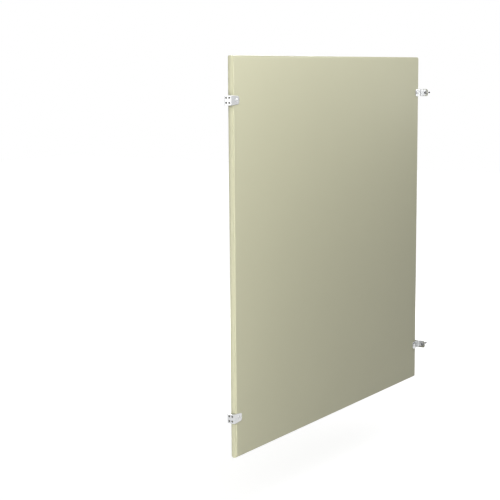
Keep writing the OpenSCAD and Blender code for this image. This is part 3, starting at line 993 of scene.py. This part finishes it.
class PARTITION_OT_through_bolts(bpy.types.Operator):
    """Turns the barrel nuts and shoulder screws that hold the arms to the panel"""

    bl_idname = "partition.through_bolts"
    bl_label = "Through-bolts"

    def execute(self, context):
        """Both halves are profiles turned about Y, with a domed head on the face of an arm."""
        size = context.scene.partition_fasteners
        steps = context.scene.partition_studio.steps
        arm_y = HALF_T + context.scene.partition_brackets.arm_metal
        barrel, bore, floor = size.barrel / 2, size.barrel_bore / 2, size.barrel_floor
        ease = 0.2 * MM
        head = domed_head(size.head, size.head_height, size, steps)
        for end, level in ((end, level) for end in ENDS for level in LEVELS):
            nut, screw = f"barrel_nut_{end}_{level}", f"shoulder_screw_{end}_{level}"
            x, _, z = middle(nut)
            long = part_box(nut)[1].y + arm_y
            sleeve = rings_of([
                (barrel, 0), (barrel, ease - long), (barrel - ease, -long), (bore + ease, -long),
                (bore, ease - long), (bore, -floor - bore / 2), (0, -floor),
            ], steps)
            mesh_piece(
                f"sleeve_nut_{end}_{level}",
                [turned(*stacked(head, sleeve), (x, -arm_y, z), (0, -1, 0))],
                "chrome_plate", [nut],
            )
            reach = arm_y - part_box(screw)[0].y
            shoulder = reach - size.screw_thread_length
            shank = rings_of([
                (barrel, 0), (barrel, ease - shoulder), (barrel - ease, -shoulder),
                (size.screw_thread / 2, -shoulder),
            ], steps)
            thread = threaded(
                size.screw_thread, size.screw_pitch, -shoulder, size.screw_thread_length, steps
            )
            rings = stacked(head, shank, thread, rings_of([(0, -reach)], steps))
            mesh_piece(
                f"back_screw_{end}_{level}", [turned(*rings, (x, arm_y, z), (0, 1, 0))],
                "chrome_plate", [screw], sharp=THREAD_TURN,
            )
        return {"FINISHED"}


class PARTITION_OT_pilaster_bolts(bpy.types.Operator):
    """Turns the four black bolts that stand out of the ears to pass through the pilaster"""

    bl_idname = "partition.pilaster_bolts"
    bl_label = "Pilaster bolts"

    def execute(self, context):
        """A domed head, a shoulder inside the ear and a thread, turned about X."""
        size = context.scene.partition_fasteners
        ear = context.scene.partition_brackets.ear_metal
        steps = context.scene.partition_studio.steps
        head = domed_head(size.stud_head, size.stud_head_height, size, steps)
        shoulder = size.stud_shoulder / 2
        shank = [(shoulder, 0), (shoulder, -ear), (size.stud / 2, -ear)]
        for level, face in ((level, face) for level in LEVELS for face in ("front", "back")):
            node = f"pilaster_bolt_{level}_{face}"
            _, y, z = middle(node)
            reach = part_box(node)[1].x - (SEAT_X - ear)
            thread = threaded(size.stud, size.stud_pitch, -ear, reach - ear, steps)
            rings = stacked(head, rings_of(shank, steps), thread, rings_of([(0, -reach)], steps))
            mesh_piece(
                f"black_bolt_{level}_{face}", [turned(*rings, (SEAT_X - ear, y, z), (-1, 0, 0))],
                "black_steel", [node], sharp=THREAD_TURN,
            )
        return {"FINISHED"}


def stand(piece, axes, place):
    """Links an object to the scene at a place, its X, Y and Z along the axes."""
    bpy.context.scene.collection.objects.link(piece)
    matrix = np.eye(4)
    matrix[:3, :3] = np.stack(axes, -1)
    matrix[:3, 3] = place
    piece.matrix_world = Matrix(matrix.tolist())


class PARTITION_OT_studio(bpy.types.Operator):
    """Sets the pale floor, the soft lamps, the white surroundings and the camera"""

    bl_idname = "partition.studio"
    bl_label = "Studio"

    def execute(self, context):
        """The camera's line of sight is (cos yaw cos pitch, sin yaw cos pitch, -sin pitch)."""
        scene, look = context.scene, context.scene.partition_studio
        self.floor(look)
        self.surroundings(scene, look)
        for name, lamp in LAMPS.items():
            self.lamp(f"{name}_lamp", getattr(look, f"{name}_power"), *lamp)
        yaw, pitch, roll = look.camera_yaw, look.camera_pitch, look.camera_roll
        flat = np.cos(pitch)
        ahead = np.array([np.cos(yaw) * flat, np.sin(yaw) * flat, -np.sin(pitch)])
        side = np.array([np.sin(yaw), -np.cos(yaw), 0.0])
        up = np.cross(side, ahead)
        right = np.cos(roll) * side + np.sin(roll) * up
        top = -np.sin(roll) * side + np.cos(roll) * up
        camera = bpy.data.objects.new("camera", bpy.data.cameras.new("camera"))
        camera.data.sensor_width = SENSOR_WIDTH
        camera.data.lens = look.lens
        camera.data.clip_end = FAR_CLIP
        stand(camera, (right, top, -ahead), look.camera_place)
        scene.camera = camera
        scene.view_settings.view_transform = "Standard"
        return {"FINISHED"}

    def lamp(self, name, power, sides, place, aim, unseen):
        """A soft lamp, so wide and so high, that faces its aim and that some rays don't see."""
        data = bpy.data.lights.new(name, "AREA")
        data.shape = "RECTANGLE"
        data.energy = power
        data.size, data.size_y = sides
        lamp = bpy.data.objects.new(name, data)
        for rays in ("camera", *unseen):
            setattr(lamp, f"visible_{rays}", False)
        back = np.subtract(place, aim)
        back /= np.linalg.norm(back)
        right = np.cross([0.0, 0.0, 1.0], back)
        right /= np.linalg.norm(right)
        stand(lamp, (right, np.cross(back, right), back), place)

    def floor(self, look):
        """A flat pale floor: for the camera it glows up to white, less near the panel's shadow."""
        half = look.floor_size / 2
        line = np.linspace(-half, half, FLOOR_LINES)
        x, y = np.meshgrid(line + PANEL_HIGH[0] / 2, line, indexing="ij")
        points = np.stack([x, y, np.full(x.shape, PANEL_LOW[2] - look.floor_drop)], -1)
        quads = grid_quads(*x.shape)[:, ::-1]
        mesh = bpy.data.meshes.new("floor")
        mesh.from_pydata(points.reshape(-1, 3).tolist(), [], quads.tolist())
        floor = bpy.data.objects.new("floor", mesh)
        bpy.context.scene.collection.objects.link(floor)
        place, add, paint = finish("pale_floor")
        centre = (PANEL_HIGH[0] / 2, SHADOW_Y, 0.0)
        away = add("ShaderNodeVectorMath", {0: place, 1: centre}, operation="DISTANCE")
        lift = between(
            add, away.outputs["Value"], SHADOW_GLOW, 1.0, *SHADOW_REACH,
            interpolation_type="SMOOTHSTEP",
        )
        paint({
            "Base Color": FLOOR_GREY,
            "Roughness": 0.9,
            "Specular IOR Level": 0.1,
            "Emission Color": WHITE,
            "Emission Strength": combine(add, "MULTIPLY", seen_rays(add), lift),
        })
        mesh.materials.append(bpy.data.materials["pale_floor"])

    def surroundings(self, scene, look):
        """White where the camera, a mirror or clear glass sees it, and a soft light elsewhere."""
        world = bpy.data.worlds.new("surroundings")
        world.use_nodes = True
        add, fill = adder(world.node_tree)
        strength = between(add, seen_rays(add), look.room, 1.0)
        fill(world.node_tree.nodes["Background"], {"Color": WHITE, "Strength": strength})
        scene.world = world


OPERATORS = (
    PARTITION_OT_studio,
    PARTITION_OT_finishes,
    PARTITION_OT_face_sheets,
    PARTITION_OT_edge_strips,
    PARTITION_OT_wall_brackets,
    PARTITION_OT_pilaster_brackets,
    PARTITION_OT_through_bolts,
    PARTITION_OT_pilaster_bolts,
)


class PARTITION_PT_sidebar(bpy.types.Panel):
    """Lists the sizes, the finishes and the pieces"""

    bl_idname = "PARTITION_PT_sidebar"
    bl_label = "Stall partition"
    bl_space_type = "VIEW_3D"
    bl_region_type = "UI"
    bl_category = "Partition"

    def draw(self, context):
        """One box of values for each group, then one button for each operator."""
        for attribute, group in GROUPS.items():
            box = self.layout.box()
            box.label(text=attribute.split("_")[-1].capitalize())
            for name in group.__annotations__:
                box.prop(getattr(context.scene, attribute), name)
        for operator in OPERATORS:
            self.layout.operator(operator.bl_idname)


def register():
    """Registers the groups, the operators and the panel, and hangs the groups on the scene."""
    for attribute, group in GROUPS.items():
        bpy.utils.register_class(group)
        setattr(bpy.types.Scene, attribute, PointerProperty(type=group))
    for kind in (*OPERATORS, PARTITION_PT_sidebar):
        bpy.utils.register_class(kind)


def unregister():
    """Takes back what register did."""
    for kind in (PARTITION_PT_sidebar, *OPERATORS[::-1]):
        bpy.utils.unregister_class(kind)
    for attribute, group in reversed(GROUPS.items()):
        delattr(bpy.types.Scene, attribute)
        bpy.utils.unregister_class(group)


def main():
    register()
    for operator in OPERATORS:
        folder, name = operator.bl_idname.split(".")
        getattr(getattr(bpy.ops, folder), name)()


if __name__ == "__main__":
    main()
